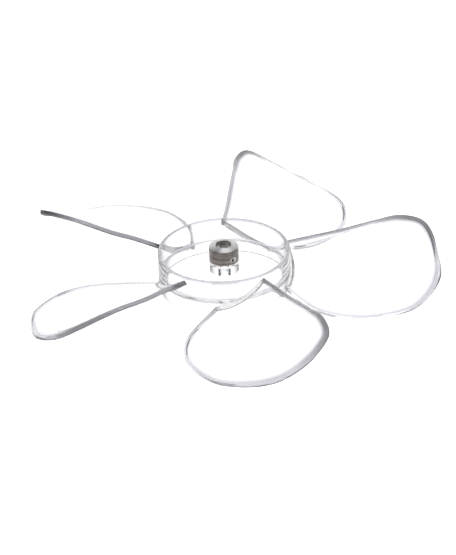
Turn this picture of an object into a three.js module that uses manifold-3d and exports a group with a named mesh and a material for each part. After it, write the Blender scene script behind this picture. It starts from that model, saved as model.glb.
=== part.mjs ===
// A clear moulded fan impeller: a cup-shaped hub with a central boss, five pitched blades,
// and a steel collar with a radial set screw that clamps the boss to a motor shaft.
//
// Millimetres, +Z up. The origin is on the axis of rotation, level with the floor of the cup.
// +Z points out of the cup, the way the air leaves. Seen from there the impeller turns
// clockwise, so each blade's low, broad edge leads and its high, straight edge trails.

import { BufferAttribute, BufferGeometry, CatmullRomCurve3, CylinderGeometry } from 'three';
import { Group, LatheGeometry, MathUtils, Mesh, MeshStandardMaterial, Vector2, Vector3 } from 'three';
import { ParametricGeometry } from 'three/addons/geometries/ParametricGeometry.js';
import { mergeVertices } from 'three/addons/utils/BufferGeometryUtils.js';
import Module from 'manifold-3d';

const wasm = await Module();
wasm.setup();

// ---------------------------------------------------------------- driving dimensions

const CLEARANCE = 0.3; // gap kept between pieces that meet

const hub = {
  rimHeight: 20.5, // from the floor of the cup up to the rim
  skirtDepth: 14.5, // from the floor of the cup down to the edge that the part rests on
  rimRadius: 59.0, // outside of the wall at the rim
  draft: 0.018, // how much the outside of the wall widens per millimetre downwards
  rimInnerRadius: 56.8,
  floorInnerRadius: 55.8,
  skirtInnerRadius: 56.6,
  webThickness: 2.4,
  webHoleRadius: 4.3, // lets the shaft through with room to spare
  floorFillet: 1.5,
  cornerRound: 2.0, // lower outside corner of the skirt
  rimRound: 0.6,
  facets: 72,
};

const boss = {
  radius: 13.3,
  shoulderHeight: 10.1, // the collar sits on this shoulder
  noseRadius: 6.4,
  noseHeight: 18.5,
  boreRadius: 4.0, // for an 8 mm motor shaft
  facets: 40,
};

const collar = {
  radius: 13.3,
  bottom: boss.shoulderHeight + CLEARANCE,
  shoulderHeight: 23.7, // top of the straight side, where the sloping shoulder starts
  height: 25.6,
  mouthRadius: 7.3,
  boreRadius: boss.noseRadius + CLEARANCE,
  edgeBreak: 0.4,
  facets: 48,
};

const screw = {
  direction: 308, // degrees around the axis
  height: 14.4, // of its own axis
  radius: 2.4, // plain shank in place of an M5 thread
  tip: 4.6, // distance of its point from the axis of rotation, just clear of the shaft
  length: 8.0,
  pointLength: 0.8,
  pointRadius: 1.4,
  socketAcrossFlats: 2.5,
  socketDepth: 3.0,
  facets: 32,
};

// The edge of one blade, from the root of its high trailing edge round the tip to the root of
// its low leading edge: distance from the axis, degrees round from the blade's own direction,
// height.
const bladeEdge = [
  [60.0, 18.1, 16.4],
  [85.0, 15.1, 19.3],
  [107.0, 14.3, 21.1],
  [142.0, 13.2, 26.3],
  [164.0, 12.7, 28.0],
  [183.5, 10.0, 23.4],
  [190.8, 4.4, 10.6],
  [190.6, -7.2, -5.4],
  [177.5, -20.8, -11.0],
  [150.0, -30.9, -11.1],
  [126.5, -35.5, -11.1],
  [98.6, -37.0, -10.8],
  [60.0, -27.6, -6.0],
];

const blade = {
  count: 5,
  thickness: 2.6,
  lipDrop: 1.8, // how far the stiffening lip round the free edge reaches below the blade
  lipWidth: 5.0, // over which the lip fades into the blade
  rootCamber: 0.09, // sag of the middle of a chord, as a share of the chord
  tipCamber: 0.05,
  rootFillet: 3.5,
  rows: 22, // from root to tip
  columns: 12, // from trailing to leading edge
};

// ---------------------------------------------------------------- materials

const clearPlastic = () => new MeshStandardMaterial({
  color: 0xe9eaf4, roughness: 0.08, metalness: 0, transparent: true, opacity: 0.35,
});
const dullSteel = () => new MeshStandardMaterial({ color: 0x8b8680, roughness: 0.38, metalness: 1 });
const darkSteel = () => new MeshStandardMaterial({ color: 0x55524f, roughness: 0.45, metalness: 1 });

// ---------------------------------------------------------------- solids

/** Merges the shared vertices of a closed geometry and drops triangles that have no area. */
function closed(geometry) {
  const plain = geometry.index ? geometry.toNonIndexed() : geometry;
  plain.deleteAttribute('normal');
  plain.deleteAttribute('uv');
  const merged = mergeVertices(plain, 1e-4);
  const kept = [];
  for (let i = 0; i < merged.index.count; i += 3) {
    const [a, b, c] = [0, 1, 2].map((corner) => merged.index.getX(i + corner));
    if (a !== b && b !== c && c !== a) kept.push(a, b, c);
  }
  merged.setIndex(kept);
  return merged;
}

/** Turns a closed geometry into a solid that can be cut and joined. */
function toSolid(geometry) {
  const merged = closed(geometry);
  return new wasm.Manifold(new wasm.Mesh({
    numProp: 3,
    vertProperties: new Float32Array(merged.attributes.position.array),
    triVerts: new Uint32Array(merged.index.array),
  }));
}

/** Turns a solid back into a geometry. */
function toGeometry(solid) {
  const mesh = solid.getMesh();
  const geometry = new BufferGeometry();
  geometry.setAttribute('position', new BufferAttribute(mesh.vertProperties, 3));
  geometry.setIndex(new BufferAttribute(mesh.triVerts, 1));
  return geometry;
}

/** A closed outline of [radius, height] corners, turned about the Z axis. */
function turned(outline, facets) {
  const corners = [...outline, outline[0]].map(([r, z]) => new Vector2(r, z));
  return new LatheGeometry(corners, facets).rotateX(Math.PI / 2);
}

/** Corners of a quarter round from one angle to another, in degrees, as [radius, height]. */
function quarterRound([r, z], radius, from, to, steps = 3) {
  return Array.from({ length: steps + 1 }, (_, i) => {
    const angle = MathUtils.degToRad(MathUtils.lerp(from, to, i / steps));
    return [r + radius * Math.cos(angle), z + radius * Math.sin(angle)];
  });
}

/** A rod that lies along the set screw's axis, from one distance off the main axis to another. */
function radialRod(from, to, startRadius, endRadius, facets) {
  const rod = new CylinderGeometry(endRadius, startRadius, to - from, facets);
  rod.rotateZ(-Math.PI / 2).translate((from + to) / 2, 0, screw.height);
  return rod.rotateZ(MathUtils.degToRad(screw.direction));
}

// ---------------------------------------------------------------- hub and boss

/** Outside radius of the hub wall at a height. */
const wallRadius = (z) => hub.rimRadius + (hub.rimHeight - z) * hub.draft;

function hubCup() {
  const bottom = -hub.skirtDepth;
  const corner = [wallRadius(bottom) - hub.cornerRound, bottom + hub.cornerRound];
  const fillet = [hub.floorInnerRadius - hub.floorFillet, hub.floorFillet];
  return turned([
    [hub.webHoleRadius, -hub.webThickness],
    [hub.skirtInnerRadius, -hub.webThickness],
    [hub.skirtInnerRadius, bottom],
    ...quarterRound(corner, hub.cornerRound, -90, 0),
    [wallRadius(hub.rimHeight - hub.rimRound), hub.rimHeight - hub.rimRound],
    [hub.rimRadius - hub.rimRound, hub.rimHeight],
    [hub.rimInnerRadius, hub.rimHeight],
    ...quarterRound(fillet, hub.floorFillet, 0, -90),
    [hub.webHoleRadius, 0],
  ], hub.facets);
}

function shaftBoss() {
  const tube = toSolid(turned([
    [boss.boreRadius, CLEARANCE],
    [boss.radius, CLEARANCE],
    [boss.radius, boss.shoulderHeight],
    [boss.noseRadius, boss.shoulderHeight],
    [boss.noseRadius, boss.noseHeight],
    [boss.boreRadius, boss.noseHeight],
  ], boss.facets));
  const screwHole = radialRod(0, boss.radius, screw.radius + CLEARANCE, screw.radius + CLEARANCE, screw.facets);
  return toGeometry(tube.subtract(toSolid(screwHole)));
}

// ---------------------------------------------------------------- blades

const cylindrical = ([r, degrees, z]) => {
  const angle = MathUtils.degToRad(degrees);
  return new Vector3(r * Math.cos(angle), r * Math.sin(angle), z);
};
const edgeCurve = new CatmullRomCurve3(bladeEdge.map(cylindrical), false, 'centripetal');
edgeCurve.arcLengthDivisions = 400;

/**
 * A point of the blade's middle surface. span runs from 0 at the root to 1 at the tip and
 * chord from 0 at the trailing edge to 1 at the leading edge. The two edge points of a row
 * are joined along an arc around the axis, which sags in its middle by the camber.
 */
function middlePoint(span, chord) {
  const high = edgeCurve.getPointAt(span / 2);
  const low = edgeCurve.getPointAt(1 - span / 2);
  const mix = (a, b) => MathUtils.lerp(a, b, chord);
  const radius = mix(Math.hypot(high.x, high.y), Math.hypot(low.x, low.y));
  const angle = mix(Math.atan2(high.y, high.x), Math.atan2(low.y, low.x));
  const camber = MathUtils.lerp(blade.rootCamber, blade.tipCamber, span) * high.distanceTo(low);
  const height = mix(high.z, low.z) - 4 * chord * (1 - chord) * camber;
  return new Vector3(radius * Math.cos(angle), radius * Math.sin(angle), height);
}

/** The upward normal of the middle surface. */
function middleNormal(span, chord) {
  const step = 0.004;
  const inner = Math.min(span, 1 - 4 * step);
  const along = middlePoint(inner + step, chord).sub(middlePoint(Math.max(inner - step, 0), chord));
  const from = Math.max(chord - step, 0);
  const to = Math.min(chord + step, 1);
  const across = middlePoint(inner, to).sub(middlePoint(inner, from));
  return across.cross(along).normalize();
}

/** Half of the blade's thickness, widened near the hub wall into a root fillet. */
function halfThickness(point, edgeDistance) {
  const fromWall = Math.hypot(point.x, point.y) - wallRadius(point.z) - CLEARANCE;
  const inFillet = MathUtils.clamp(1 - fromWall / blade.rootFillet, 0, 1);
  const fillet = blade.rootFillet * (1 - Math.sqrt(1 - inFillet ** 2));
  const edgeFade = Math.min(edgeDistance / (2 * blade.rootFillet), 1);
  return blade.thickness / 2 + fillet * edgeFade;
}

/** What the lip adds to the underside, at a distance from the free edge. */
const lip = (edgeDistance) => (
  blade.lipDrop * (1 - MathUtils.smoothstep(edgeDistance, 0, blade.lipWidth))
);

/** Moves a point straight in or out until it lies on the cylinder that clears the hub wall. */
function ontoWall(point) {
  const scale = (wallRadius(point.z) + CLEARANCE) / Math.hypot(point.x, point.y);
  return new Vector3(point.x * scale, point.y * scale, point.z);
}

/**
 * One blade, pointing along +X. Rings around its section are laid from the root to the tip:
 * each runs over the upper side and back along the underside, so its ends are the flat edge.
 * The first ring is folded flat, which closes the root, and the last is one upright line.
 */
function bladeSkin() {
  const sidePoints = blade.columns + 1;
  const ringSteps = 2 * sidePoints;
  const place = (around, along, target) => {
    const row = Math.round(along * (blade.rows + 1));
    const k = Math.round(around * ringSteps) % ringSteps;
    const above = k < sidePoints;
    const column = above ? k : ringSteps - 1 - k;
    const span = Math.sin(Math.PI / 2 * Math.max(row - 1, 0) / blade.rows);
    const chord = span === 1 ? 0.5 : (1 - Math.cos(Math.PI * column / blade.columns)) / 2;
    const middle = middlePoint(span, chord);
    const edge = Math.min(
      middle.distanceTo(middlePoint(span, 0)),
      middle.distanceTo(middlePoint(span, 1)),
      middle.distanceTo(edgeCurve.getPointAt(0.5)),
    );
    const half = halfThickness(middle, edge);
    const offset = above ? half : -half - lip(edge);
    middle.addScaledVector(middleNormal(span, chord), row === 0 ? 0 : offset);
    target.copy(row <= 1 ? ontoWall(middle) : middle);
  };
  return new ParametricGeometry(place, ringSteps, blade.rows + 1);
}

// ---------------------------------------------------------------- collar and screw

function shaftCollar() {
  const { radius, bottom, height, boreRadius, mouthRadius, edgeBreak, shoulderHeight } = collar;
  const ring = toSolid(turned([
    [boreRadius, bottom],
    [radius - edgeBreak, bottom],
    [radius, bottom + edgeBreak],
    [radius, shoulderHeight - edgeBreak],
    [radius - edgeBreak, shoulderHeight],
    [mouthRadius, height],
    [boreRadius, height - (mouthRadius - boreRadius)],
  ], collar.facets));
  const holeRadius = screw.radius + CLEARANCE;
  const hole = toSolid(radialRod(0, radius + 1, holeRadius, holeRadius, screw.facets));
  return toGeometry(ring.subtract(hole));
}

function setScrew() {
  const end = screw.tip + screw.length;
  const shank = toSolid(radialRod(screw.tip + screw.pointLength, end, screw.radius, screw.radius, screw.facets));
  const point = toSolid(radialRod(
    screw.tip, screw.tip + screw.pointLength + 0.01, screw.pointRadius, screw.radius, screw.facets,
  ));
  const acrossCorners = screw.socketAcrossFlats / Math.sqrt(3);
  const socket = toSolid(radialRod(end - screw.socketDepth, end + 1, acrossCorners, acrossCorners, 6));
  return toGeometry(shank.add(point).subtract(socket));
}

// ---------------------------------------------------------------- assembly

function named(name, geometry, material) {
  const mesh = new Mesh(geometry, material);
  mesh.name = name;
  return mesh;
}

function bladeRing() {
  const ring = new Group();
  for (let i = 0; i < blade.count; i += 1) {
    const mesh = named(`blade_${i + 1}`, closed(bladeSkin()), clearPlastic());
    mesh.rotation.z = 2 * Math.PI * i / blade.count;
    ring.add(mesh);
  }
  return ring;
}

const impeller = new Group();
impeller.add(named('hub_cup', closed(hubCup()), clearPlastic()));
impeller.add(named('shaft_boss', shaftBoss(), clearPlastic()));
impeller.add(bladeRing());
impeller.add(named('shaft_collar', shaftCollar(), dullSteel()));
impeller.add(named('set_screw', setScrew(), darkSteel()));

export default impeller;
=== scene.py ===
"""The looks of a clear moulded fan impeller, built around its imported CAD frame.

Everything is in metres in the CAD's own frame: +Z is the axis of rotation and z = 0 is the
floor of the hub's cup. Each piece is a surface worked out as a whole array of points.
"""
import math

import bmesh
import bpy
import numpy as np
from mathutils import Matrix, Vector


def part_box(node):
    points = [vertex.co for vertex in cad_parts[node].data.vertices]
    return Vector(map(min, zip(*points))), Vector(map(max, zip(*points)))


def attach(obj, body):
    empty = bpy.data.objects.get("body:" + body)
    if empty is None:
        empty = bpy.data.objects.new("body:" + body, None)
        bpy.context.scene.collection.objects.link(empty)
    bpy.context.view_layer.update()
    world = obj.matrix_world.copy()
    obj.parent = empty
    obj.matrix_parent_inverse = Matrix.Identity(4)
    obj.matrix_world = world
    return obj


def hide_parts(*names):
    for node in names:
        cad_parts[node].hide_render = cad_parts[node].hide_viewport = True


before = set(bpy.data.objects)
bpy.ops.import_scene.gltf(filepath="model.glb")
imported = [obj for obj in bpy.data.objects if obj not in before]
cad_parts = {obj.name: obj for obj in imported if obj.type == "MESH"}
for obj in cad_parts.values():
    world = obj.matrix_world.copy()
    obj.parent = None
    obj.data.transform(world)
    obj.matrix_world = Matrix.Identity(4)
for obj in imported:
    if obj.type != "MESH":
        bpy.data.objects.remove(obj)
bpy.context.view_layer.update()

# ------------------------------------------------------------------ sizes

MM = 0.001
GAP = 0.3 * MM  # between pieces that meet, as in the CAD

HUB_LOW, HUB_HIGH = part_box("hub_cup")
BOSS_LOW, BOSS_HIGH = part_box("shaft_boss")
COLLAR_LOW, COLLAR_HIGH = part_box("shaft_collar")

RIM_RADIUS = 59.0 * MM
WALL_DRAFT = 0.018
RIM_INNER_RADIUS = 56.8 * MM
FLOOR_INNER_RADIUS = 55.8 * MM
SKIRT_INNER_RADIUS = 56.6 * MM
WEB_THICKNESS = 2.4 * MM
WEB_HOLE_RADIUS = 4.3 * MM
BORE_RADIUS = 4.0 * MM
NOSE_RADIUS = 6.4 * MM
SHOULDER_HEIGHT = COLLAR_LOW.z - GAP
COLLAR_RADIUS = COLLAR_HIGH.x
COLLAR_SHOULDER = 23.7 * MM
MOUTH_RADIUS = 7.3 * MM

SCREW_AZIMUTH = math.radians(308)
SCREW_DIRECTION = (math.cos(SCREW_AZIMUTH), math.sin(SCREW_AZIMUTH), 0)
SCREW_HEIGHT = 14.4 * MM
SCREW_RADIUS = 2.5 * MM
SCREW_HOLE_RADIUS = 2.62 * MM
COUNTERSINK = 0.9 * MM
SCREW_TIP = 4.6 * MM
SCREW_LENGTH = 8.0 * MM
SCREW_END = SCREW_TIP + SCREW_LENGTH
SCREW_PITCH = 0.8 * MM
THREAD_DEPTH = 0.45 * SCREW_PITCH
POINT_LENGTH = 0.7 * MM
PLAIN_END = 0.3 * MM
POINT_RADIUS = 1.3 * MM
CUP_RADIUS = 0.9 * MM
CUP_DEPTH = 0.5 * MM
SOCKET_ACROSS_FLATS = 2.5 * MM
SOCKET_DEPTH = 3.0 * MM
SOCKET_CHAMFER = 0.15 * MM
DRILL_POINT = 0.5 * MM

BLADE_COUNT = 5
BLADE_THICKNESS = 2.6 * MM
EDGE_ROUND = 1.3 * MM
ROOT_FILLET = 3.5 * MM
LIP_DROP = 1.8 * MM
LIP_WIDTH = 5.0 * MM
EDGE_POWER = 4  # 2 would make the blade's edge an ellipse, and more makes it squarer
ROOT_CAMBER = 0.09
TIP_CAMBER = 0.05

# One blade's edge, from the root of its high edge round the tip to the root of its low edge:
# distance from the axis in mm, degrees round from the blade's own direction, height in mm.
BLADE_EDGE = [
    (60.0, 18.1, 16.4),
    (85.0, 15.1, 19.3),
    (107.0, 14.3, 21.1),
    (142.0, 13.2, 26.3),
    (164.0, 12.7, 28.0),
    (183.5, 10.0, 23.4),
    (190.8, 4.4, 10.6),
    (190.6, -7.2, -5.4),
    (177.5, -20.8, -11.0),
    (150.0, -30.9, -11.1),
    (126.5, -35.5, -11.1),
    (98.6, -37.0, -10.8),
    (60.0, -27.6, -6.0),
]

# How strongly the painted edge shade shows, and how wide it is in mm, at shares of the way round
# a blade's edge in the same order. The same band also frosts the edge.
EDGE_SHADE_BAND = [
    (0.00, 0.80, 4.5),
    (0.12, 0.80, 5.5),
    (0.22, 0.74, 5.5),
    (0.30, 0.97, 9.0),
    (0.37, 0.92, 9.0),
    (0.46, 0.60, 7.0),
    (0.75, 0.53, 6.5),
    (1.00, 0.48, 4.5),
]

# The same painted edge shade along the hub's own outline: radius and height of each band's middle
# in mm, how far it reaches in mm, and how strongly it shows.
HUB_SHADE_BANDS = [
    (57.9, 20.5, 3.0, 0.66),
    (56.0, 0.0, 3.2, 0.58),
    (59.0, -14.5, 2.5, 0.35),
]

BAND_FALL = 1.7  # a band fades this many times as fast as it would from its middle to its reach

# How much painted shade darkens the hub's walls where they are seen along their surface.
SKIRT_SIDE_ON_SHADE = 1.0
CUP_SIDE_ON_SHADE = 0.3
WALL_FROM_RADIUS = 0.9 * SKIRT_INNER_RADIUS

# Points round each turned piece, and the longest straight stretch of an outline.
HUB_AROUND = 288
COLLAR_AROUND = 192
BOSS_AROUND = 128
SCREW_AROUND = 96
HOLE_AROUND = 64
HUB_STRETCH = 4 * MM
SHAFT_STRETCH = 2 * MM
EDGE_STEPS = 400  # points along a blade's edge that distances are measured to
SHARP_ANGLE = math.radians(40)

# ------------------------------------------------------------------ finishes, light and camera

BLACK = (0, 0, 0)
WHITE = (1, 1, 1)
PLASTIC_TINTS = (0.962, 0.96, 0.966), (0.985, 0.984, 0.988)
# Painted shade: the colours that the edge bands darken the plastic towards.
EDGE_SHADE_COLOUR = (0.60, 0.60, 0.635)
DEEP_EDGE_SHADE_COLOUR = (0.22, 0.219, 0.232)
# Painted shade for the hub's walls seen side on.
SIDE_ON_SHADE_COLOUR = (0.18, 0.18, 0.184, 1)
DEPTH_COLOUR = (0.80, 0.798, 0.806, 1)
DEPTH_DENSITY = 22.0
COLLAR_SIDE_TONES = (0.16, 0.142, 0.13), (0.31, 0.285, 0.265)
# Painted light: the shoulder's lighter tones stand for the lamp on its upward slope.
COLLAR_SHOULDER_PAINTED_LIGHT = (0.34, 0.335, 0.34), (0.50, 0.49, 0.495)
FRESH_STEEL = (0.82, 0.80, 0.77, 1)
BORE_SHINE = 0.3
BLACKENED_TONES = (0.10, 0.095, 0.09), (0.34, 0.33, 0.32)
WORN_STEEL = (0.78, 0.76, 0.73, 1)

FLOOR_GLOW = 1.15  # a little over white, so that the plastic's faces stay white through its tint
FLOOR_GLOW_OUTSIDE = 0.1
FLOOR_MIRRORED = 0.6
LIT_STRIP_EDGE = (0.2, 0.38)  # the glow falls between these distances, in metres
FLOOR_SIZE = 30.0
FLOOR_LEVEL = HUB_LOW.z - 0.1 * MM
ROOM_IN_FRONT = (0.36, 0.36, 0.375)
ROOM_ASIDE = (0.05, 0.05, 0.052)
ROOM_BEHIND = (1.5, 1.5, 1.5)
SKY_SEEN = 1.05

CAMERA_ELEVATION = math.radians(29.6)
CAMERA_ROLL = math.radians(2.4)
CAMERA_DISTANCE = 3.243
SENSOR_WIDTH = 36
LENS_LENGTH = 235.7
AIM_RIGHT = 3.9  # mm from the middle of the rim
AIM_DOWN = 25.2

# ------------------------------------------------------------------ meshes


def skin(name, grid, ring=False, **marks):
    """A mesh over a (rows, around, 3) array of points. Each row joins up with itself, and with
    ring the last row joins the first. Points that fall together become one. Each of the marks,
    0 to 1 at every point, is kept with the mesh under its own name for the finish."""
    rows, around = grid.shape[:2]
    index = np.arange(rows * around).reshape(rows, around)
    beside = np.roll(index, -1, axis=1)
    below = slice(None) if ring else slice(0, -1)
    next_row = np.roll(index, -1, axis=0)[below]
    next_beside = np.roll(beside, -1, axis=0)[below]
    quads = np.stack([index[below], beside[below], next_beside, next_row], axis=-1)
    mesh = bpy.data.meshes.new(name)
    mesh.from_pydata(grid.reshape(-1, 3).tolist(), [], quads.reshape(-1, 4).tolist())
    for label, values in marks.items():
        kept = mesh.attributes.new(label, "FLOAT", "POINT")
        kept.data.foreach_set("value", np.ascontiguousarray(values).ravel())
    work = bmesh.new()
    work.from_mesh(mesh)
    bmesh.ops.remove_doubles(work, verts=work.verts, dist=1e-6)
    bmesh.ops.dissolve_degenerate(work, edges=work.edges, dist=1e-7)
    bmesh.ops.recalc_face_normals(work, faces=work.faces)
    work.to_mesh(mesh)
    work.free()
    return mesh


def piece(name, mesh, slot, body, node_name):
    """Shows a mesh as a named piece, in the finish of its material slot, that rides on a body
    and stands for its CAD node."""
    mesh.polygons.foreach_set("use_smooth", np.ones(len(mesh.polygons), bool))
    mesh.set_sharp_from_angle(angle=SHARP_ANGLE)
    mesh.materials.append(FINISHES[slot])
    made = bpy.data.objects.new(name, mesh)
    bpy.context.collection.objects.link(made)
    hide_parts(node_name)
    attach(made, body)


def rounded(corners, steps=6):
    """A closed outline whose corners (radius, height, rounding) become arcs. Each arc's centre
    lies on the corner's bisector, at its rounding over the sine of half the corner's angle."""
    corners = np.array(corners, float)
    here, radius = corners[:, :2], corners[:, 2:]
    back = np.roll(here, 1, axis=0) - here
    ahead = np.roll(here, -1, axis=0) - here
    back /= np.linalg.norm(back, axis=1, keepdims=True)
    ahead /= np.linalg.norm(ahead, axis=1, keepdims=True)
    half = np.arccos(np.clip((back * ahead).sum(1, keepdims=True), -1, 1)) / 2
    middle = back + ahead
    middle /= np.linalg.norm(middle, axis=1, keepdims=True)
    centre = here + middle * radius / np.sin(half)
    turn = np.linspace(-1, 1, steps + 1)[None, :, None] * (np.pi / 2 - half)[:, None, :]
    side = ahead - middle * (ahead * middle).sum(1, keepdims=True)
    side /= np.linalg.norm(side, axis=1, keepdims=True)
    arc = -middle[:, None] * np.cos(turn) + side[:, None] * np.sin(turn)
    return (centre[:, None] + arc * radius[:, None]).reshape(-1, 2)


def refined(outline, longest):
    """The same closed outline with its long straight stretches cut into equal shorter ones."""
    ahead = np.roll(outline, -1, axis=0)
    length = np.linalg.norm(ahead - outline, axis=1)
    cuts = np.maximum(np.ceil(length / longest).astype(int), 1)
    start = np.repeat(np.arange(len(outline)), cuts)
    first = np.repeat(np.cumsum(cuts) - cuts, cuts)
    share = (np.arange(cuts.sum()) - first) / np.repeat(cuts, cuts)
    return outline[start] + (ahead - outline)[start] * share[:, None]


def turned(outline, around):
    """The closed outline of (radius, height) points carried once round the Z axis."""
    return circled(outline[:, :1], outline[:, 1:], all_round(around))


def all_round(around):
    """Angles at even steps once round."""
    return np.linspace(0, 2 * np.pi, around, endpoint=False)


def circled(radius, height, angle):
    """Points at a radius, an angle and a height, each of them a number or an array."""
    return np.stack(
        [radius * np.cos(angle), radius * np.sin(angle), height + 0 * angle], axis=-1
    )


# ------------------------------------------------------------------ shading helpers


def new_material(name):
    """A material with one Principled BSDF. Gives back the material, its tree and the BSDF."""
    material = bpy.data.materials.new(name)
    material.use_nodes = True
    tree = material.node_tree
    return material, tree, tree.nodes["Principled BSDF"]


def feed(tree, socket, source):
    """Links an input to another node's output, or sets it to a plain value."""
    if isinstance(source, bpy.types.NodeSocket):
        tree.links.new(source, socket)
    else:
        socket.default_value = source


def node(tree, kind, **values):
    """Adds a shader node. Each value sets its property of that name or, where it has none, feeds
    its input of that name."""
    made = tree.nodes.new(kind)
    for name, value in values.items():
        if hasattr(made, name):
            setattr(made, name, value)
        else:
            feed(tree, made.inputs[name.replace("_", " ")], value)
    return made


def ramp(tree, factor, first, last, between=()):
    """The colour that the factor picks along stops of (position, colour)."""
    made = node(tree, "ShaderNodeValToRGB", Fac=factor)
    stops = made.color_ramp.elements
    for stop, (position, colour) in zip(stops, (first, last)):
        stop.position = position
        stop.color = (*colour, 1)
    for position, colour in between:
        stops.new(position).color = (*colour, 1)
    return made.outputs["Color"]


def mixed_colour(tree, factor, first, second, blend="MIX"):
    """The first colour carried by the factor towards the second, or towards both multiplied."""
    made = node(tree, "ShaderNodeMix", data_type="RGBA", blend_type=blend, Factor=factor)
    feed(tree, made.inputs[6], first)
    feed(tree, made.inputs[7], second)
    return made.outputs[2]


def carried(tree, value, start, finish, low=0.0, high=1.0, curve="LINEAR"):
    """The value carried from start ... finish to low ... high, and held at both ends."""
    made = node(
        tree, "ShaderNodeMapRange", interpolation_type=curve, Value=value,
        From_Min=start, From_Max=finish, To_Min=low, To_Max=high,
    )
    return made.outputs["Result"]


def arithmetic(tree, operation, *sources):
    """What a Math node makes of the sources."""
    made = node(tree, "ShaderNodeMath", operation=operation)
    for socket, source in zip(made.inputs, sources):
        feed(tree, socket, source)
    return made.outputs[0]


def of_vectors(tree, operation, *sources):
    """What a Vector Math node makes of the sources: a number where it measures, else a vector."""
    made = node(tree, "ShaderNodeVectorMath", operation=operation)
    for socket, source in zip(made.inputs, sources):
        feed(tree, socket, source)
    measures = operation in ("LENGTH", "DOT_PRODUCT")
    return made.outputs["Value" if measures else "Vector"]


def place_on_object(tree):
    """Where a point lies in the object's own coordinates."""
    return node(tree, "ShaderNodeTexCoord").outputs["Object"]


def distance_off_axis(tree, place):
    """How far a place lies from the Z axis."""
    return of_vectors(tree, "LENGTH", of_vectors(tree, "MULTIPLY", place, (1, 1, 0)))


def mark(tree, name):
    """The value of one of the marks kept with the mesh."""
    return node(tree, "ShaderNodeAttribute", attribute_name=name).outputs["Fac"]


def raised(tree, shader, height, strength, distance):
    """Makes the surface look raised where the height is more."""
    bump = node(tree, "ShaderNodeBump", Height=height, Strength=strength, Distance=distance)
    feed(tree, shader.inputs["Normal"], bump.outputs[0])


def group(name, inputs, outputs):
    """An empty shader node group with named inputs (with defaults) and outputs."""
    tree = bpy.data.node_groups.new(name, "ShaderNodeTree")
    for label, kind, default in inputs:
        socket = tree.interface.new_socket(label, in_out="INPUT", socket_type=kind)
        socket.default_value = default
    for label, kind in outputs:
        tree.interface.new_socket(label, in_out="OUTPUT", socket_type=kind)
    return tree, tree.nodes.new("NodeGroupInput"), tree.nodes.new("NodeGroupOutput")


def placed(tree, shared):
    """A copy of a shared group inside a material."""
    return node(tree, "ShaderNodeGroup", node_tree=shared)


def handling_marks():
    """Fine scuffs in two crossing directions and soft smears, from 0 (clean) to 1 (marked)."""
    tree, given, out = group(
        "handling_marks",
        [("Scale", "NodeSocketFloat", 1.0)],
        [("Marks", "NodeSocketFloat"), ("Smears", "NodeSocketFloat")],
    )
    place = place_on_object(tree)
    scuffs = []
    for turn in (0.4, 1.9):
        stretched = node(
            tree, "ShaderNodeMapping", Vector=place,
            Rotation=(turn, 0.3, turn), Scale=(900, 40, 300),
        )
        scratch = node(
            tree, "ShaderNodeTexNoise", Vector=stretched.outputs[0],
            Scale=1.0, Detail=3.0, Roughness=0.6,
        )
        scuffs.append(ramp(tree, scratch.outputs["Fac"], (0.66, BLACK), (0.72, WHITE)))
    smears_per_metre = arithmetic(tree, "MULTIPLY", given.outputs["Scale"], 28.0)
    smear = node(
        tree, "ShaderNodeTexNoise", Vector=place, Scale=smears_per_metre,
        Detail=4.0, Roughness=0.55,
    )
    feed(tree, out.inputs["Marks"], arithmetic(tree, "MAXIMUM", *scuffs))
    feed(tree, out.inputs["Smears"], smear.outputs["Fac"])
    return tree


def turning_lines():
    """Fine rings left by a lathe: noise that only changes with height and distance off the axis."""
    tree, given, out = group(
        "turning_lines",
        [("Lines per metre", "NodeSocketFloat", 3000.0)],
        [("Height", "NodeSocketFloat"), ("Broad", "NodeSocketFloat")],
    )
    place = place_on_object(tree)
    height = node(tree, "ShaderNodeSeparateXYZ", Vector=place).outputs["Z"]
    radius = distance_off_axis(tree, place)
    rings = node(tree, "ShaderNodeCombineXYZ", X=radius, Z=height).outputs[0]
    fine = node(
        tree, "ShaderNodeTexNoise", Vector=rings, Scale=given.outputs["Lines per metre"],
        Detail=3.0, Roughness=0.7,
    )
    broad = node(tree, "ShaderNodeTexNoise", Vector=rings, Scale=700.0, Detail=2.0)
    feed(tree, out.inputs["Height"], fine.outputs["Fac"])
    feed(tree, out.inputs["Broad"], broad.outputs["Fac"])
    return tree


MARKS = handling_marks()
TURNING = turning_lines()

# ------------------------------------------------------------------ finishes


def plastic_colour(tree, marks, edge):
    """Nearly white, with painted shade going lavender-grey to near black in the edge bands, and
    painted shade on the hub's walls where they are seen along their surface."""
    darker, lighter = PLASTIC_TINTS
    tint = ramp(tree, marks.outputs["Smears"], (0.3, darker), (0.7, lighter))
    # Painted shade: lavender-grey, then near black, along the blade and hub edges.
    band = ramp(tree, edge, (0.0, WHITE), (1.0, DEEP_EDGE_SHADE_COLOUR), [(0.5, EDGE_SHADE_COLOUR)])
    colour = mixed_colour(tree, 1.0, tint, band, "MULTIPLY")
    # Painted shade: the hub's walls darken where they are seen at a grazing angle.
    facing = node(tree, "ShaderNodeLayerWeight", Blend=0.5).outputs["Facing"]
    grazing = carried(tree, facing, 0.42, 0.72, curve="SMOOTHSTEP")
    amount = arithmetic(tree, "MULTIPLY", grazing, mark(tree, "side_on"))
    return mixed_colour(tree, amount, colour, SIDE_ON_SHADE_COLOUR, "MULTIPLY")


def plastic_roughness(tree, marks, edge):
    """Polished, with frosted blade roots and edge bands, and a little rougher in its scuffs."""
    frosted = arithmetic(tree, "MAXIMUM", edge, mark(tree, "at_root"))
    polish, frost = (0.015,) * 3, (0.5,) * 3
    base = ramp(tree, frosted, (0.5, polish), (1.0, frost))
    return arithmetic(tree, "MULTIPLY_ADD", marks.outputs["Marks"], 0.10, base)


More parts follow.
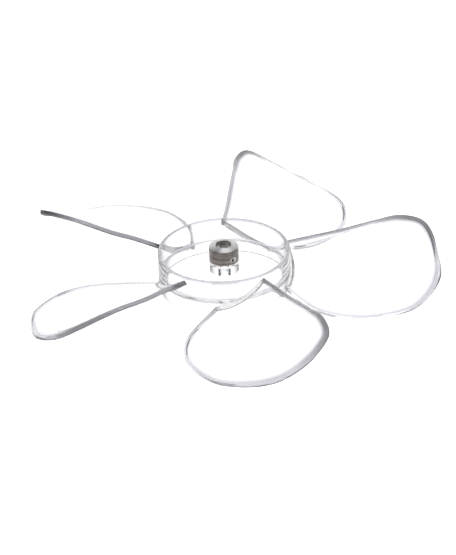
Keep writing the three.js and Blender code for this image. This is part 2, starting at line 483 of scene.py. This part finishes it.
def clear_plastic():
    """Water-clear moulded plastic with faint flow ripples, that greys with its depth."""
    material, tree, shader = new_material("moulded_clear_plastic")
    shader.inputs["Transmission Weight"].default_value = 1.0
    shader.inputs["IOR"].default_value = 1.5
    marks = placed(tree, MARKS)
    # The edge mark paints shade into the colour and also frosts the roughness.
    edge = mark(tree, "near_edge")
    feed(tree, shader.inputs["Base Color"], plastic_colour(tree, marks, edge))
    feed(tree, shader.inputs["Roughness"], plastic_roughness(tree, marks, edge))
    flow = node(
        tree, "ShaderNodeTexNoise", Vector=place_on_object(tree), Scale=35.0, Detail=1.0
    )
    raised(tree, shader, flow.outputs["Fac"], strength=0.25, distance=0.4 * MM)
    depth = node(
        tree, "ShaderNodeVolumeAbsorption", Density=DEPTH_DENSITY, Color=DEPTH_COLOUR
    )
    feed(tree, tree.nodes["Material Output"].inputs["Volume"], depth.outputs[0])
    return material


def smeared_metal(tree, shader, least, spread):
    """Makes a finish metal, with a roughness from the least up by the spread where smeared."""
    shader.inputs["Metallic"].default_value = 1.0
    smears = placed(tree, MARKS).outputs["Smears"]
    feed(tree, shader.inputs["Roughness"], arithmetic(tree, "MULTIPLY_ADD", smears, spread, least))


def turned_colour(tree, place, broad):
    """Grey-brown sides and a shoulder painted lighter as painted light on its upward slope, both
    uneven with the broad lathe rings.
    """
    tones = [
        ramp(tree, broad, (low, dark), (high, light))
        for (low, high), (dark, light) in (
            ((0.35, 0.65), COLLAR_SIDE_TONES), ((0.3, 0.7), COLLAR_SHOULDER_PAINTED_LIGHT),
        )
    ]
    height = node(tree, "ShaderNodeSeparateXYZ", Vector=place).outputs["Z"]
    blend = 0.3 * MM
    # Painted light: the shoulder above this height takes the lighter tones.
    shoulder = carried(tree, height, COLLAR_SHOULDER - blend, COLLAR_SHOULDER + blend)
    return mixed_colour(tree, shoulder, *tones)


def freshly_cut(tree, place):
    """1 near the screw's axis, in its hole and countersink and straight across the collar from
    them, BORE_SHINE in the collar's bore, and 0 elsewhere."""
    from_screw = of_vectors(tree, "SUBTRACT", place, (0, 0, SCREW_HEIGHT))
    aside = of_vectors(tree, "CROSS_PRODUCT", from_screw, SCREW_DIRECTION)
    off_screw = of_vectors(tree, "LENGTH", aside)
    outside = SCREW_HOLE_RADIUS + COUNTERSINK
    inside = SCREW_HOLE_RADIUS + 0.9 * COUNTERSINK
    countersunk = carried(tree, off_screw, outside, inside)
    off_axis = distance_off_axis(tree, place)
    bored = carried(tree, off_axis, MOUTH_RADIUS + 0.2 * MM, MOUTH_RADIUS, high=BORE_SHINE)
    return arithmetic(tree, "MAXIMUM", countersunk, bored)


def collar_steel():
    """Dull turned steel with lathe rings, bright where it is bored and countersunk."""
    material, tree, shader = new_material("turned_collar_steel")
    place = place_on_object(tree)
    lines = placed(tree, TURNING)
    turned_steel = turned_colour(tree, place, lines.outputs["Broad"])
    colour = mixed_colour(tree, freshly_cut(tree, place), turned_steel, FRESH_STEEL)
    feed(tree, shader.inputs["Base Color"], colour)
    smeared_metal(tree, shader, least=0.24, spread=0.18)
    raised(tree, shader, lines.outputs["Height"], strength=0.35, distance=0.05 * MM)
    return material


def screw_steel():
    """Blackened hardened steel with worn specks, and worn bright all over its outer end."""
    material, tree, shader = new_material("blackened_screw_steel")
    place = place_on_object(tree)
    specks = node(tree, "ShaderNodeTexNoise", Vector=place, Scale=1800.0, Detail=3.0)
    dark, light = BLACKENED_TONES
    blackened = ramp(tree, specks.outputs["Fac"], (0.45, dark), (0.75, light))
    way_out = of_vectors(tree, "DOT_PRODUCT", place, SCREW_DIRECTION)
    worn = carried(tree, way_out, SCREW_END - 0.5 * MM, SCREW_END - 0.2 * MM)
    feed(tree, shader.inputs["Base Color"], mixed_colour(tree, worn, blackened, WORN_STEEL))
    smeared_metal(tree, shader, least=0.25, spread=0.25)
    raised(tree, shader, specks.outputs["Fac"], strength=0.3, distance=0.04 * MM)
    return material


# ------------------------------------------------------------------ the screw's hole


def along_screw():
    """The placing that lays a shape built up the Z axis outwards along the screw's own axis."""
    lay_down = Matrix.Rotation(math.pi / 2, 4, "Y")
    swing = Matrix.Rotation(SCREW_AZIMUTH, 4, "Z")
    return Matrix.Translation((0, 0, SCREW_HEIGHT)) @ swing @ lay_down


def rod_for_hole(radius, flare):
    """A solid rod along the screw's axis, whose end flares out where it leaves the collar."""
    start = 2 * MM
    outline = np.array([
        (0, start),
        (radius, start),
        (radius, COLLAR_RADIUS - flare),
        (radius + 2 * flare, COLLAR_RADIUS + flare),
        (0, COLLAR_RADIUS + flare),
    ])
    mesh = skin("hole", turned(outline, HOLE_AROUND))
    mesh.transform(along_screw())
    return mesh


def cut(mesh, cutter):
    """The mesh less the cutter, by an exact boolean whose result is kept as a plain mesh."""
    body = bpy.data.objects.new("body", mesh)
    tool = bpy.data.objects.new("tool", cutter)
    for made in (body, tool):
        bpy.context.collection.objects.link(made)
    boolean = body.modifiers.new("hole", "BOOLEAN")
    boolean.operation = "DIFFERENCE"
    boolean.solver = "EXACT"
    boolean.object = tool
    graph = bpy.context.evaluated_depsgraph_get()
    result = bpy.data.meshes.new_from_object(body.evaluated_get(graph))
    for made in (body, tool):
        bpy.data.objects.remove(made)
    return result


# ------------------------------------------------------------------ hub and boss


def wall_radius(height):
    """Outside radius of the hub wall, which widens downwards by its draft."""
    return RIM_RADIUS + (HUB_HIGH.z - height) * WALL_DRAFT


def fading(away):
    """How much of a band is left at a distance from its middle, as a share of its reach."""
    return np.clip(BAND_FALL * (1 - away), 0, 1)


def hub_shade_marks(outline):
    """At each point of the hub's outline, how much the painted edge shade shows, and how much
    painted shade darkens the wall where it is seen along its surface."""
    near_edge = np.zeros(len(outline))
    for radius, height, reach, strength in HUB_SHADE_BANDS:
        away = np.hypot(outline[:, 0] - radius * MM, outline[:, 1] - height * MM) / (reach * MM)
        near_edge = np.maximum(near_edge, strength * fading(away))
    # Painted shade on the walls seen side on, strongest on the skirt.
    of_wall = np.where(outline[:, 1] < 0, SKIRT_SIDE_ON_SHADE, CUP_SIDE_ON_SHADE)
    side_on = np.where(outline[:, 0] > WALL_FROM_RADIUS, of_wall, 0)
    return near_edge, side_on


def hub_cup():
    """Wall, web and skirt in one: their outline with rounded corners, turned about the axis."""
    bottom = HUB_LOW.z
    outline = rounded([
        (WEB_HOLE_RADIUS, -WEB_THICKNESS, 0.3 * MM),
        (SKIRT_INNER_RADIUS, -WEB_THICKNESS, 1.2 * MM),
        (SKIRT_INNER_RADIUS, bottom, 0.3 * MM),
        (wall_radius(bottom), bottom, 2.0 * MM),
        (RIM_RADIUS, HUB_HIGH.z, 0.8 * MM),
        (RIM_INNER_RADIUS, HUB_HIGH.z, 0.8 * MM),
        (FLOOR_INNER_RADIUS, 0, 1.5 * MM),
        (WEB_HOLE_RADIUS, 0, 0.3 * MM),
    ])
    outline = refined(outline, HUB_STRETCH)
    near_edge, side_on = hub_shade_marks(outline)
    mesh = skin(
        "hub_cup", turned(outline, HUB_AROUND), ring=True,
        near_edge=np.repeat(near_edge, HUB_AROUND),
        side_on=np.repeat(side_on, HUB_AROUND),
    )
    piece("hub_cup_moulding", mesh, "clear_plastic", "impeller", "hub_cup")


def shaft_boss():
    """A thick tube with a shoulder for the collar and a slimmer nose above it, bored through one
    side for the screw."""
    outline = rounded([
        (BORE_RADIUS, BOSS_LOW.z, 0.2 * MM),
        (BOSS_HIGH.x, BOSS_LOW.z, 0.2 * MM),
        (BOSS_HIGH.x, SHOULDER_HEIGHT, 0.4 * MM),
        (NOSE_RADIUS, SHOULDER_HEIGHT, 0.3 * MM),
        (NOSE_RADIUS, BOSS_HIGH.z, 0.8 * MM),
        (BORE_RADIUS, BOSS_HIGH.z, 0.5 * MM),
    ])
    grid = turned(refined(outline, SHAFT_STRETCH), BOSS_AROUND)
    tube = skin("shaft_boss", grid, ring=True)
    mesh = cut(tube, rod_for_hole(SCREW_HOLE_RADIUS, 0.0))
    piece("shaft_boss_moulding", mesh, "clear_plastic", "impeller", "shaft_boss")


# ------------------------------------------------------------------ blades


def edge_curve(samples=64):
    """A smooth curve through the blade's edge points, with as many samples on each stretch.
    Each stretch is a cubic whose end slopes weigh its neighbours by the root of their length."""
    radius, degrees, height = np.array(BLADE_EDGE).T
    angle = np.radians(degrees)
    knots = circled(radius, height, angle) * MM
    padded = np.vstack([2 * knots[0] - knots[1], knots, 2 * knots[-1] - knots[-2]])
    a, b, c, d = padded[:-3], padded[1:-2], padded[2:-1], padded[3:]
    before, within, after = (
        np.sqrt(np.linalg.norm(q - p, axis=1, keepdims=True)) for p, q in ((a, b), (b, c), (c, d))
    )
    start = within * ((b - a) / before - (c - a) / (before + within) + (c - b) / within)
    finish = within * ((c - b) / within - (d - b) / (within + after) + (d - c) / after)
    t = np.linspace(0, 1, samples, endpoint=False)[None, :, None]
    cubic = (
        b[:, None] + start[:, None] * t
        + (3 * (c - b) - 2 * start - finish)[:, None] * t**2
        + (2 * (b - c) + start + finish)[:, None] * t**3
    )
    return np.vstack([cubic.reshape(-1, 3), knots[-1]])


def along(curve, share):
    """Points of a curve at the given shares of its length."""
    step = np.linalg.norm(np.diff(curve, axis=0), axis=1)
    length = np.concatenate([[0], np.cumsum(step)]) / step.sum()
    return np.stack([np.interp(share, length, axis) for axis in curve.T], axis=-1)


def middle_surface(curve, span, chord):
    """The blade's middle: for each span, the high and low edge points joined along an arc about
    the axis, which sags in its middle by four times c(1 - c) times the camber."""
    high, low = along(curve, span / 2), along(curve, 1 - span / 2)
    width = np.linalg.norm(high - low, axis=1)
    camber = np.interp(span, [0, 1], [ROOT_CAMBER, TIP_CAMBER]) * width

    def mixed(of_high, of_low):
        return of_high[:, None] + (of_low - of_high)[:, None] * chord[None, :]

    radius = mixed(np.hypot(high[:, 0], high[:, 1]), np.hypot(low[:, 0], low[:, 1]))
    angle = mixed(np.arctan2(high[:, 1], high[:, 0]), np.arctan2(low[:, 1], low[:, 0]))
    height = mixed(high[:, 2], low[:, 2]) - 4 * (chord * (1 - chord))[None, :] * camber[:, None]
    return circled(radius, height, angle)


def upward_normals(surface):
    """Cross product of the two grid directions. The last row, a point, takes the row before."""
    across = np.gradient(surface, axis=1)
    outward = np.gradient(surface, axis=0)
    normal = np.cross(across, outward)
    normal /= np.linalg.norm(normal, axis=2, keepdims=True) + 1e-12
    normal *= np.sign(normal[len(normal) // 2, normal.shape[1] // 2, 2])
    normal[-1] = normal[-2].mean(axis=0)
    return normal


def distance_to(points, curve):
    """Distance from each point to a curve: the least over its straight pieces, on each of which
    the nearest place is the foot of the perpendicular, held between the piece's two ends."""
    start, piece_step = curve[:-1], np.diff(curve, axis=0)
    from_start = points[..., None, :] - start
    share = (from_start * piece_step).sum(-1) / (piece_step**2).sum(-1)
    foot = start + np.clip(share, 0, 1)[..., None] * piece_step
    return np.linalg.norm(points[..., None, :] - foot, axis=-1).min(axis=-1)


def on_wall(points):
    """The same points moved straight in or out until they clear the hub wall by the gap."""
    distance = np.hypot(points[..., 0], points[..., 1])
    scale = (wall_radius(points[..., 2]) + GAP) / distance
    return points * np.stack([scale, scale, np.ones_like(scale)], axis=-1)


def edge_shade_band(span, chord, to_edge):
    """How much the edge's painted shade and frost show at each point: all their strength near the
    edge, then evenly less, down to none at the band's width. The share of the way round the edge is
    span / 2 at the high edge (chord 0), one less span / 2 at the low edge (chord 1), and even in
    between."""
    way_round = span[:, None] / 2 + chord[None, :] * (1 - span)[:, None]
    share, strength, width = np.array(EDGE_SHADE_BAND).T
    across = to_edge / (np.interp(way_round, share, width) * MM)
    return np.interp(way_round, share, strength) * fading(across)


def face_distances(middle, to_edge):
    """How far the upper and the lower face lie from the blade's middle. Both are half a sheet
    with a round free edge, plus a quarter-round fillet where the sheet meets the wall. The lower
    one also has the lip, which ends in a smooth step."""
    free_edge = 1 - (1 - np.minimum(to_edge / EDGE_ROUND, 1)) ** EDGE_POWER
    rounded_edge = free_edge ** (1 / EDGE_POWER)
    off_wall = np.hypot(middle[..., 0], middle[..., 1]) - wall_radius(middle[..., 2]) - GAP
    in_fillet = np.clip(1 - off_wall / ROOT_FILLET, 0, 1)
    fillet = ROOT_FILLET * (1 - np.sqrt(1 - in_fillet**2))
    fade = np.minimum(to_edge / (2 * ROOT_FILLET), 1)
    half = rounded_edge * (BLADE_THICKNESS / 2 + fillet * fade)
    from_lip = np.clip(to_edge / LIP_WIDTH, 0, 1)
    lip = rounded_edge * LIP_DROP * (1 - from_lip**2 * (3 - 2 * from_lip))
    return half, half + lip


def blade_grid(rows=110, columns=56):
    """Rings round the blade's section from root to tip, with how much the painted edge shade shows
    at each point and a 1 at the points of the root. The first ring closes the root on its middle."""
    curve = edge_curve()
    span = np.sin(np.pi / 2 * np.linspace(0, 1, rows))
    chord = (1 - np.cos(np.pi * np.linspace(0, 1, columns + 1))) / 2
    middle = middle_surface(curve, span, chord)
    normal = upward_normals(middle)
    to_edge = distance_to(middle, along(curve, np.linspace(0, 1, EDGE_STEPS)))
    to_edge[:, [0, -1]] = 0
    above, below = face_distances(middle, to_edge)
    upper = middle + normal * above[..., None]
    lower = middle - normal * below[..., None]
    rings = np.concatenate([upper, lower[:, -2:0:-1]], axis=1)
    rings[0] = on_wall(rings[0])
    folded = on_wall(np.concatenate([middle[:1], middle[:1, -2:0:-1]], axis=1))
    # Painted shade along the blade's edge, which also sets where the edge is frosted.
    near = edge_shade_band(span, chord, to_edge)
    near = np.concatenate([near, near[:, -2:0:-1]], axis=1)
    at_root = np.zeros_like(near)
    at_root[0] = 1
    grid, near, at_root = (
        np.concatenate([first, rest]) for first, rest in
        ((folded, rings), (near[:1], near), (at_root[:1], at_root))
    )
    return grid, near, at_root


def blades():
    """The same blade turned five times about the axis."""
    grid, near_edge, at_root = blade_grid()
    for i in range(BLADE_COUNT):
        turn = np.array(Matrix.Rotation(2 * math.pi * i / BLADE_COUNT, 3, "Z"))
        node_name = f"blade_{i + 1}"
        mesh = skin(node_name, grid @ turn.T, near_edge=near_edge, at_root=at_root)
        piece(f"{node_name}_moulding", mesh, "clear_plastic", "impeller", node_name)


# ------------------------------------------------------------------ collar and screw


def shaft_collar():
    """A thick ring with a sloping shoulder and a bevelled mouth, bored through for the screw."""
    bore = NOSE_RADIUS + GAP
    outline = rounded([
        (bore, COLLAR_LOW.z, 0.2 * MM),
        (COLLAR_RADIUS, COLLAR_LOW.z, 0.45 * MM),
        (COLLAR_RADIUS, COLLAR_SHOULDER, 0.5 * MM),
        (MOUTH_RADIUS, COLLAR_HIGH.z, 0.3 * MM),
        (bore, COLLAR_HIGH.z - (MOUTH_RADIUS - bore), 0.2 * MM),
    ])
    grid = turned(refined(outline, SHAFT_STRETCH), COLLAR_AROUND)
    ring = skin("shaft_collar", grid, ring=True)
    mesh = cut(ring, rod_for_hole(SCREW_HOLE_RADIUS, COUNTERSINK))
    piece("shaft_collar_turned", mesh, "collar_steel", "impeller", "shaft_collar")


def thread_rows(angle, rows=90):
    """The screw's threaded side. The thread's radius is a triangle wave of height over pitch
    less the angle's share of a turn, and it runs out towards both ends of the screw."""
    height = np.linspace(SCREW_TIP + POINT_LENGTH, SCREW_END - PLAIN_END, rows)[:, None]
    phase = (height / SCREW_PITCH - angle / (2 * np.pi)) % 1.0
    wave = SCREW_RADIUS - THREAD_DEPTH * np.abs(2 * phase - 1)
    from_end = np.clip((SCREW_END - height) / SCREW_PITCH, 0, 1)
    from_tip = np.clip((height - SCREW_TIP) / (2 * POINT_LENGTH), 0, 1)
    runout = from_end * from_tip
    radius = np.minimum(wave, SCREW_RADIUS - THREAD_DEPTH * (1 - runout) * 0.5)
    return circled(radius, height, angle)


def set_screw():
    """A threaded grub screw with a cup point and a hexagon socket. Its rows run from the middle
    of the point up the threads and down into the socket. A hexagon's radius is half its width
    over the cosine of the angle from the middle of the nearest side."""
    angle = all_round(SCREW_AROUND)
    hexagon = SOCKET_ACROSS_FLATS / 2 / np.cos((angle % (np.pi / 3)) - np.pi / 6)
    point = np.stack([
        circled(0, SCREW_TIP + CUP_DEPTH, angle),
        circled(CUP_RADIUS, SCREW_TIP, angle),
        circled(POINT_RADIUS, SCREW_TIP, angle),
    ])
    socket_floor = SCREW_END - SOCKET_DEPTH
    top = np.stack([
        circled(SCREW_RADIUS - THREAD_DEPTH, SCREW_END, angle),
        circled(hexagon + SOCKET_CHAMFER, SCREW_END, angle),
        circled(hexagon, SCREW_END - SOCKET_CHAMFER, angle),
        circled(hexagon, socket_floor, angle),
        circled(0, socket_floor - DRILL_POINT, angle),
    ])
    mesh = skin("set_screw", np.concatenate([point, thread_rows(angle), top]))
    mesh.transform(along_screw())
    piece("set_screw_threaded", mesh, "screw_steel", "set_screw", "set_screw")


# ------------------------------------------------------------------ stage, light and camera


def floor_glow(tree):
    """The strip of floor under the object and behind it is lit, and dims to both sides and in
    front, except to the camera. Reflections see it weaker than it is."""
    position = node(tree, "ShaderNodeNewGeometry").outputs["Position"]
    apart = node(tree, "ShaderNodeSeparateXYZ", Vector=position)
    aside = arithmetic(tree, "ABSOLUTE", apart.outputs["X"])
    in_front = arithmetic(tree, "MULTIPLY", apart.outputs["Y"], -1.0)
    outside = arithmetic(tree, "MAXIMUM", aside, in_front)
    strip = carried(tree, outside, *LIT_STRIP_EDGE, low=FLOOR_GLOW, high=FLOOR_GLOW_OUTSIDE)
    path = node(tree, "ShaderNodeLightPath")
    seen = node(
        tree, "ShaderNodeMix", data_type="FLOAT",
        Factor=path.outputs["Is Camera Ray"], A=strip, B=FLOOR_GLOW,
    )
    reflected = path.outputs["Is Reflection Ray"]
    mirrored = carried(tree, reflected, 0.0, 1.0, low=1.0, high=FLOOR_MIRRORED)
    return arithmetic(tree, "MULTIPLY", seen.outputs[0], mirrored)


def light_table():
    """A large pale floor that gives off most of its own light, so that it shows no shadows."""
    material, tree, shader = new_material("pale_floor")
    grain = node(tree, "ShaderNodeTexNoise", Scale=6.0, Detail=3.0)
    dark, light = (0.79, 0.79, 0.795), (0.81, 0.81, 0.815)
    pale = ramp(tree, grain.outputs["Fac"], (0.3, dark), (0.7, light))
    feed(tree, shader.inputs["Base Color"], pale)
    shader.inputs["Roughness"].default_value = 0.9
    shader.inputs["Specular IOR Level"].default_value = 0.0
    shader.inputs["Emission Color"].default_value = (1, 1, 1, 1)
    feed(tree, shader.inputs["Emission Strength"], floor_glow(tree))
    signs = [(-1, -1), (1, -1), (1, 1), (-1, 1)]
    corners = [(x * FLOOR_SIZE, y * FLOOR_SIZE, FLOOR_LEVEL) for x, y in signs]
    mesh = bpy.data.meshes.new("floor")
    mesh.from_pydata(corners, [], [(0, 1, 2, 3)])
    mesh.materials.append(material)
    floor = bpy.data.objects.new("floor", mesh)
    bpy.context.collection.objects.link(floor)


def surroundings():
    """White behind the object for the camera. Everything else sees a bright backdrop behind the
    object, a dark room to the sides and overhead, and grey in front."""
    world = bpy.data.worlds.new("studio")
    world.use_nodes = True
    bpy.context.scene.world = world
    tree = world.node_tree
    direction = node(tree, "ShaderNodeTexCoord").outputs["Generated"]
    backwards = node(tree, "ShaderNodeSeparateXYZ", Vector=direction).outputs["Y"]
    shade = ramp(
        tree, carried(tree, backwards, -1.0, 1.0), (0.18, ROOM_IN_FRONT), (0.92, ROOM_BEHIND),
        between=[(0.36, ROOM_ASIDE), (0.70, ROOM_ASIDE)],
    )
    room = tree.nodes["Background"]
    room.inputs["Strength"].default_value = 1.0
    feed(tree, room.inputs["Color"], shade)
    seen = node(tree, "ShaderNodeBackground", Color=(1, 1, 1, 1), Strength=SKY_SEEN)
    path = node(tree, "ShaderNodeLightPath")
    mix = node(tree, "ShaderNodeMixShader", Fac=path.outputs["Is Camera Ray"])
    feed(tree, mix.inputs[1], room.outputs[0])
    feed(tree, mix.inputs[2], seen.outputs[0])
    feed(tree, tree.nodes["World Output"].inputs["Surface"], mix.outputs[0])


def softbox(name, place, aim, size, power):
    """A square area light that the camera doesn't see."""
    light = bpy.data.lights.new(name, "AREA")
    light.size = size
    light.energy = power
    made = bpy.data.objects.new(name, light)
    made.location = place
    made.rotation_euler = (Vector(aim) - Vector(place)).to_track_quat("-Z", "Y").to_euler()
    made.visible_camera = False
    bpy.context.collection.objects.link(made)


def camera():
    """Looks down on the impeller from the front, slightly rolled, with a long lens."""
    lens = bpy.data.cameras.new("camera")
    lens.sensor_width = SENSOR_WIDTH
    lens.lens = LENS_LENGTH
    lens.clip_end = 100
    back = Vector((0, -math.cos(CAMERA_ELEVATION), math.sin(CAMERA_ELEVATION)))
    level_up = Vector((0, math.sin(CAMERA_ELEVATION), math.cos(CAMERA_ELEVATION)))
    level_right = Vector((1, 0, 0))
    right = level_right * math.cos(CAMERA_ROLL) - level_up * math.sin(CAMERA_ROLL)
    up = level_up * math.cos(CAMERA_ROLL) + level_right * math.sin(CAMERA_ROLL)
    aim = Vector((0, 0, HUB_HIGH.z)) + right * AIM_RIGHT * MM - up * AIM_DOWN * MM
    turn = Matrix((right, up, back)).transposed().to_4x4()
    made = bpy.data.objects.new("camera", lens)
    made.matrix_world = Matrix.Translation(aim + back * CAMERA_DISTANCE) @ turn
    bpy.context.collection.objects.link(made)
    bpy.context.scene.camera = made


bpy.context.scene.view_settings.view_transform = "Standard"
light_paths = bpy.context.scene.cycles
light_paths.max_bounces = 48
light_paths.transmission_bounces = 32
light_paths.glossy_bounces = 32
camera()
light_table()
surroundings()
softbox("overhead", place=(0.3, 1.2, 3.0), aim=(0, 0, 0), size=1.6, power=16)

FINISHES = {
    "clear_plastic": clear_plastic(),
    "collar_steel": collar_steel(),
    "screw_steel": screw_steel(),
}
hub_cup()
shaft_boss()
blades()
shaft_collar()
set_screw()
